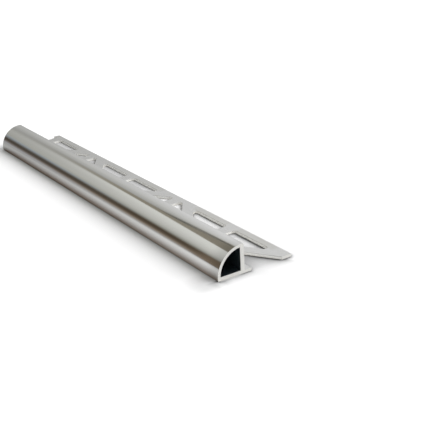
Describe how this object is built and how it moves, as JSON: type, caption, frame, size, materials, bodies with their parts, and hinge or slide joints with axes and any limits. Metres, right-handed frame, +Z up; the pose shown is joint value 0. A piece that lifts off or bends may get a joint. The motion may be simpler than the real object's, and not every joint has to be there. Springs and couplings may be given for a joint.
{
  "type": "tile edge trim",
  "caption": "Closed quadrant tile edge trim: a hollow quarter-round covers the tile edge and a flat leg punched with slanting windows beds in the adhesive.",
  "frame": {"origin": "mid-length, on the underside, in the plane of the tile stop", "axes": "+X along the profile towards the sawn end nearer the camera, +Y from the tile stop out along the leg, +Z up from the underside"},
  "size_m": [0.175, 0.0282, 0.01],
  "materials": {
    "bright_aluminium": "polished and bright anodised on the quadrant, satin mill finish on the leg, bare sawn ends"
  },
  "bodies": {
    "root": {"trim_profile": "bright_aluminium"}
  },
  "joints": []
}
